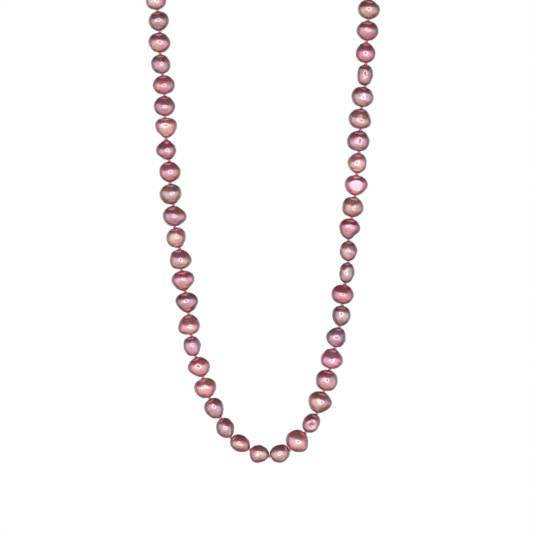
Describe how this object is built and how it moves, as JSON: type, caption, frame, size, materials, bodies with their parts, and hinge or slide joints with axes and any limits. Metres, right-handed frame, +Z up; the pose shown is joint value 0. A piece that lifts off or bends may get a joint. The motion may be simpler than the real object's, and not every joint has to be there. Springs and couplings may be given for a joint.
{
  "type": "knotted pearl necklace",
  "caption": "Single strand of baroque pearls on knotted silk, worn round the neck and closed at the nape by a small lobster clasp.",
  "frame": {"origin": "middle of the neck opening, level with the top of the front strand", "axes": "+X to the viewer's right, +Y from the front strand back to the nape and clasp, +Z up"},
  "size_m": [0.1067, 0.0453, 0.2446],
  "materials": {
    "nacre": "gloss",
    "silk": "matte",
    "silver": "polished",
    "spring_steel": "satin"
  },
  "bodies": {
    "nape": {"nape_pearls_left": "nacre", "nape_pearls_right": "nacre", "silk_thread": "silk", "bullion_left": "silver", "bullion_right": "silver", "jump_ring": "silver", "end_ring": "silver", "clasp_claw": "silver", "clasp_pin": "spring_steel", "clasp_spring": "spring_steel"},
    "pearl_left_23": {"pearl_left_23": "nacre"},
    "pearl_left_22": {"pearl_left_22": "nacre"},
    "pearl_left_21": {"pearl_left_21": "nacre"},
    "pearl_left_20": {"pearl_left_20": "nacre"},
    "pearl_left_19": {"pearl_left_19": "nacre"},
    "pearl_left_18": {"pearl_left_18": "nacre"},
    "pearl_left_17": {"pearl_left_17": "nacre"},
    "pearl_left_16": {"pearl_left_16": "nacre"},
    "pearl_left_15": {"pearl_left_15": "nacre"},
    "pearl_left_14": {"pearl_left_14": "nacre"},
    "pearl_left_13": {"pearl_left_13": "nacre"},
    "pearl_left_12": {"pearl_left_12": "nacre"},
    "pearl_left_11": {"pearl_left_11": "nacre"},
    "pearl_left_10": {"pearl_left_10": "nacre"},
    "pearl_left_09": {"pearl_left_09": "nacre"},
    "pearl_left_08": {"pearl_left_08": "nacre"},
    "pearl_left_07": {"pearl_left_07": "nacre"},
    "pearl_left_06": {"pearl_left_06": "nacre"},
    "pearl_left_05": {"pearl_left_05": "nacre"},
    "pearl_left_04": {"pearl_left_04": "nacre"},
    "pearl_left_03": {"pearl_left_03": "nacre"},
    "pearl_left_02": {"pearl_left_02": "nacre"},
    "pearl_left_01": {"pearl_left_01": "nacre"},
    "pearl_right_23": {"pearl_right_23": "nacre"},
    "pearl_right_22": {"pearl_right_22": "nacre"},
    "pearl_right_21": {"pearl_right_21": "nacre"},
    "pearl_right_20": {"pearl_right_20": "nacre"},
    "pearl_right_19": {"pearl_right_19": "nacre"},
    "pearl_right_18": {"pearl_right_18": "nacre"},
    "pearl_right_17": {"pearl_right_17": "nacre"},
    "pearl_right_16": {"pearl_right_16": "nacre"},
    "pearl_right_15": {"pearl_right_15": "nacre"},
    "pearl_right_14": {"pearl_right_14": "nacre"},
    "pearl_right_13": {"pearl_right_13": "nacre"},
    "pearl_right_12": {"pearl_right_12": "nacre"},
    "pearl_right_11": {"pearl_right_11": "nacre"},
    "pearl_right_10": {"pearl_right_10": "nacre"},
    "pearl_right_09": {"pearl_right_09": "nacre"},
    "pearl_right_08": {"pearl_right_08": "nacre"},
    "pearl_right_07": {"pearl_right_07": "nacre"},
    "pearl_right_06": {"pearl_right_06": "nacre"},
    "pearl_right_05": {"pearl_right_05": "nacre"},
    "pearl_right_04": {"pearl_right_04": "nacre"},
    "pearl_right_03": {"pearl_right_03": "nacre"},
    "pearl_right_02": {"pearl_right_02": "nacre"},
    "pearl_right_01": {"pearl_right_01": "nacre"},
    "lever": {"clasp_lever": "silver"}
  },
  "joints": [
    {"name": "flex_left_23", "type": "hinge", "parent": "nape", "child": "pearl_left_23", "pos_m": [-0.04859, -0.019, -0.00266], "axis": [1, 0, 0], "range_deg": [-12, 12], "deforming": ["silk_thread"]},
    {"name": "flex_left_22", "type": "hinge", "parent": "pearl_left_23", "child": "pearl_left_22", "pos_m": [-0.04808, -0.019, -0.01225], "axis": [0, 1, 0], "range_deg": [-3, 3]},
    {"name": "flex_left_21", "type": "hinge", "parent": "pearl_left_22", "child": "pearl_left_21", "pos_m": [-0.04684, -0.019, -0.02179], "axis": [-1, 0, 0], "range_deg": [-12, 12]},
    {"name": "flex_left_20", "type": "hinge", "parent": "pearl_left_21", "child": "pearl_left_20", "pos_m": [-0.04686, -0.019, -0.03161], "axis": [0, 1, 0], "range_deg": [-3.5, 3.5]},
    {"name": "flex_left_19", "type": "hinge", "parent": "pearl_left_20", "child": "pearl_left_19", "pos_m": [-0.04567, -0.019, -0.04105], "axis": [1, 0, 0], "range_deg": [-12, 12]},
    {"name": "flex_left_18", "type": "hinge", "parent": "pearl_left_19", "child": "pearl_left_18", "pos_m": [-0.04476, -0.019, -0.05031], "axis": [0, -1, 0], "range_deg": [-2.5, 2.5]},
    {"name": "flex_left_17", "type": "hinge", "parent": "pearl_left_18", "child": "pearl_left_17", "pos_m": [-0.04466, -0.019, -0.06013], "axis": [-1, 0, 0], "range_deg": [-12, 12]},
    {"name": "flex_left_16", "type": "hinge", "parent": "pearl_left_17", "child": "pearl_left_16", "pos_m": [-0.04411, -0.019, -0.07002], "axis": [0, -1, 0], "range_deg": [-3.5, 3.5]},
    {"name": "flex_left_15", "type": "hinge", "parent": "pearl_left_16", "child": "pearl_left_15", "pos_m": [-0.0427, -0.019, -0.07984], "axis": [1, 0, 0], "range_deg": [-12, 12]},
    {"name": "flex_left_14", "type": "hinge", "parent": "pearl_left_15", "child": "pearl_left_14", "pos_m": [-0.04241, -0.019, -0.08996], "axis": [0, 1, 0], "range_deg": [-3, 3]},
    {"name": "flex_left_13", "type": "hinge", "parent": "pearl_left_14", "child": "pearl_left_13", "pos_m": [-0.04076, -0.019, -0.09984], "axis": [-1, 0, 0], "range_deg": [-12, 12]},
    {"name": "flex_left_12", "type": "hinge", "parent": "pearl_left_13", "child": "pearl_left_12", "pos_m": [-0.04033, -0.019, -0.10976], "axis": [0, 1, 0], "range_deg": [-6, 6]},
    {"name": "flex_left_11", "type": "hinge", "parent": "pearl_left_12", "child": "pearl_left_11", "pos_m": [-0.03793, -0.019, -0.11934], "axis": [1, 0, 0], "range_deg": [-12, 12]},
    {"name": "flex_left_10", "type": "hinge", "parent": "pearl_left_11", "child": "pearl_left_10", "pos_m": [-0.03732, -0.019, -0.12905], "axis": [0, 1, 0], "range_deg": [-4.5, 4.5]},
    {"name": "flex_left_09", "type": "hinge", "parent": "pearl_left_10", "child": "pearl_left_09", "pos_m": [-0.03554, -0.019, -0.1388], "axis": [-1, 0, 0], "range_deg": [-12, 12]},
    {"name": "flex_left_08", "type": "hinge", "parent": "pearl_left_09", "child": "pearl_left_08", "pos_m": [-0.03398, -0.019, -0.14867], "axis": [0, -1, 0], "range_deg": [-6.5, 6.5]},
    {"name": "flex_left_07", "type": "hinge", "parent": "pearl_left_08", "child": "pearl_left_07", "pos_m": [-0.0328, -0.019, -0.15854], "axis": [1, 0, 0], "range_deg": [-12, 12]},
    {"name": "flex_left_06", "type": "hinge", "parent": "pearl_left_07", "child": "pearl_left_06", "pos_m": [-0.03089, -0.019, -0.16808], "axis": [0, -1, 0], "range_deg": [-5, 5]},
    {"name": "flex_left_05", "type": "hinge", "parent": "pearl_left_06", "child": "pearl_left_05", "pos_m": [-0.02751, -0.019, -0.17745], "axis": [-1, 0, 0], "range_deg": [-12, 12]},
    {"name": "flex_left_04", "type": "hinge", "parent": "pearl_left_05", "child": "pearl_left_04", "pos_m": [-0.0246, -0.019, -0.18682], "axis": [0, 1, 0], "range_deg": [-5.1, 5.1]},
    {"name": "flex_left_03", "type": "hinge", "parent": "pearl_left_04", "child": "pearl_left_03", "pos_m": [-0.01958, -0.019, -0.19572], "axis": [0.8953, 0, 0.4454], "range_deg": [-8, 8]},
    {"name": "flex_left_02", "type": "hinge", "parent": "pearl_left_03", "child": "pearl_left_02", "pos_m": [-0.01512, -0.019, -0.20468], "axis": [-0.5155, 0, -0.8569], "range_deg": [-8, 8]},
    {"name": "flex_left_01", "type": "hinge", "parent": "pearl_left_02", "child": "pearl_left_01", "pos_m": [-0.00648, -0.019, -0.20988], "axis": [0.3365, 0, 0.9417], "range_deg": [-10, 10]},
    {"name": "flex_right_23", "type": "hinge", "parent": "nape", "child": "pearl_right_23", "pos_m": [0.04893, -0.019, 0.00282], "axis": [1, 0, 0], "range_deg": [-11.8, 11.8]},
    {"name": "flex_right_22", "type": "hinge", "parent": "pearl_right_23", "child": "pearl_right_22", "pos_m": [0.04782, -0.019, -0.00692], "axis": [0, 1, 0], "range_deg": [-4, 4]},
    {"name": "flex_right_21", "type": "hinge", "parent": "pearl_right_22", "child": "pearl_right_21", "pos_m": [0.04689, -0.019, -0.01658], "axis": [-1, 0, 0], "range_deg": [-11.8, 11.8]},
    {"name": "flex_right_20", "type": "hinge", "parent": "pearl_right_21", "child": "pearl_right_20", "pos_m": [0.04614, -0.019, -0.02625], "axis": [0, 1, 0], "range_deg": [-3.6, 3.6]},
    {"name": "flex_right_19", "type": "hinge", "parent": "pearl_right_20", "child": "pearl_right_19", "pos_m": [0.04582, -0.019, -0.03625], "axis": [1, 0, 0], "range_deg": [-11.8, 11.8]},
    {"name": "flex_right_18", "type": "hinge", "parent": "pearl_right_19", "child": "pearl_right_18", "pos_m": [0.04546, -0.019, -0.04635], "axis": [0, -1, 0], "range_deg": [-3.2, 3.2]},
    {"name": "flex_right_17", "type": "hinge", "parent": "pearl_right_18", "child": "pearl_right_17", "pos_m": [0.04389, -0.019, -0.05606], "axis": [-1, 0, 0], "range_deg": [-11.8, 11.8]},
    {"name": "flex_right_16", "type": "hinge", "parent": "pearl_right_17", "child": "pearl_right_16", "pos_m": [0.04336, -0.019, -0.06594], "axis": [0, -1, 0], "range_deg": [-3.7, 3.7]},
    {"name": "flex_right_15", "type": "hinge", "parent": "pearl_right_16", "child": "pearl_right_15", "pos_m": [0.04276, -0.019, -0.07603], "axis": [1, 0, 0], "range_deg": [-11.8, 11.8]},
    {"name": "flex_right_14", "type": "hinge", "parent": "pearl_right_15", "child": "pearl_right_14", "pos_m": [0.04171, -0.019, -0.08597], "axis": [0, 1, 0], "range_deg": [-3.1, 3.1]},
    {"name": "flex_right_13", "type": "hinge", "parent": "pearl_right_14", "child": "pearl_right_13", "pos_m": [0.04099, -0.019, -0.09585], "axis": [-1, 0, 0], "range_deg": [-11.7, 11.7]},
    {"name": "flex_right_12", "type": "hinge", "parent": "pearl_right_13", "child": "pearl_right_12", "pos_m": [0.03951, -0.019, -0.10564], "axis": [0, 1, 0], "range_deg": [-7.5, 7.5]},
    {"name": "flex_right_11", "type": "hinge", "parent": "pearl_right_12", "child": "pearl_right_11", "pos_m": [0.038, -0.019, -0.11562], "axis": [1, 0, 0], "range_deg": [-11.7, 11.7]},
    {"name": "flex_right_10", "type": "hinge", "parent": "pearl_right_11", "child": "pearl_right_10", "pos_m": [0.03803, -0.019, -0.12541], "axis": [0, 1, 0], "range_deg": [-4.3, 4.3]},
    {"name": "flex_right_09", "type": "hinge", "parent": "pearl_right_10", "child": "pearl_right_09", "pos_m": [0.03649, -0.019, -0.1353], "axis": [-1, 0, 0], "range_deg": [-11.6, 11.6]},
    {"name": "flex_right_08", "type": "hinge", "parent": "pearl_right_09", "child": "pearl_right_08", "pos_m": [0.03516, -0.019, -0.14482], "axis": [0, -1, 0], "range_deg": [-7.6, 7.6]},
    {"name": "flex_right_07", "type": "hinge", "parent": "pearl_right_08", "child": "pearl_right_07", "pos_m": [0.034, -0.019, -0.15459], "axis": [1, 0, 0], "range_deg": [-11.3, 11.3]},
    {"name": "flex_right_06", "type": "hinge", "parent": "pearl_right_07", "child": "pearl_right_06", "pos_m": [0.03189, -0.019, -0.16419], "axis": [0, -1, 0], "range_deg": [-5.1, 5.1]},
    {"name": "flex_right_05", "type": "hinge", "parent": "pearl_right_06", "child": "pearl_right_05", "pos_m": [0.02964, -0.019, -0.17388], "axis": [-1, 0, 0], "range_deg": [-11.1, 11.1]},
    {"name": "flex_right_04", "type": "hinge", "parent": "pearl_right_05", "child": "pearl_right_04", "pos_m": [0.02685, -0.019, -0.18366], "axis": [0, 1, 0], "range_deg": [-5, 5]},
    {"name": "flex_right_03", "type": "hinge", "parent": "pearl_right_04", "child": "pearl_right_03", "pos_m": [0.02378, -0.019, -0.19378], "axis": [0.8587, 0, -0.5125], "range_deg": [-7.5, 7.5]},
    {"name": "flex_right_02", "type": "hinge", "parent": "pearl_right_03", "child": "pearl_right_02", "pos_m": [0.01873, -0.019, -0.20224], "axis": [-0.749, 0, 0.6626], "range_deg": [-8.4, 8.4]},
    {"name": "flex_right_01", "type": "hinge", "parent": "pearl_right_02", "child": "pearl_right_01", "pos_m": [0.01176, -0.019, -0.21012], "axis": [0.3028, 0, -0.953], "range_deg": [-9.9, 9.9]},
    {"name": "lever_pivot", "type": "hinge", "parent": "nape", "child": "lever", "pos_m": [-0.00105, 0.017, 0.021], "axis": [0, -1, 0], "range_deg": [0, 25], "stiffness_Nm_per_rad": 0.002, "springref_deg": -28.65, "deforming": ["clasp_spring"]}
  ],
  "couplings": [
    {"joint": "flex_right_23", "follows": "flex_left_23", "ratio": 0.9746},
    {"joint": "flex_right_21", "follows": "flex_left_21", "ratio": 0.9735},
    {"joint": "flex_right_19", "follows": "flex_left_19", "ratio": 0.9728},
    {"joint": "flex_right_17", "follows": "flex_left_17", "ratio": 0.974},
    {"joint": "flex_right_15", "follows": "flex_left_15", "ratio": 0.9722},
    {"joint": "flex_right_13", "follows": "flex_left_13", "ratio": 0.9659},
    {"joint": "flex_right_11", "follows": "flex_left_11", "ratio": 0.9618},
    {"joint": "flex_right_09", "follows": "flex_left_09", "ratio": 0.955},
    {"joint": "flex_right_07", "follows": "flex_left_07", "ratio": 0.9324},
    {"joint": "flex_right_05", "follows": "flex_left_05", "ratio": 0.9088},
    {"joint": "flex_right_03", "follows": "flex_left_03", "ratio": 0.9222},
    {"joint": "flex_right_02", "follows": "flex_left_02", "ratio": 1.0263},
    {"joint": "flex_right_01", "follows": "flex_left_01", "ratio": 0.9721},
    {"joint": "flex_left_12", "follows": "flex_left_22", "ratio": -1.9439},
    {"joint": "flex_right_22", "follows": "flex_left_22", "ratio": -1.2687},
    {"joint": "flex_right_12", "follows": "flex_left_22", "ratio": 2.4345},
    {"joint": "flex_left_10", "follows": "flex_left_20", "ratio": -1.24},
    {"joint": "flex_right_20", "follows": "flex_left_20", "ratio": 0.9759},
    {"joint": "flex_right_10", "follows": "flex_left_20", "ratio": -1.1984},
    {"joint": "flex_left_08", "follows": "flex_left_18", "ratio": -2.5274},
    {"joint": "flex_right_18", "follows": "flex_left_18", "ratio": -1.2171},
    {"joint": "flex_right_08", "follows": "flex_left_18", "ratio": 2.9729},
    {"joint": "flex_left_06", "follows": "flex_left_16", "ratio": -1.3962},
    {"joint": "flex_right_16", "follows": "flex_left_16", "ratio": 1.0129},
    {"joint": "flex_right_06", "follows": "flex_left_16", "ratio": -1.4073},
    {"joint": "flex_left_04", "follows": "flex_left_14", "ratio": -1.6584},
    {"joint": "flex_right_14", "follows": "flex_left_14", "ratio": 0.9975},
    {"joint": "flex_right_04", "follows": "flex_left_14", "ratio": -1.6049}
  ]
}
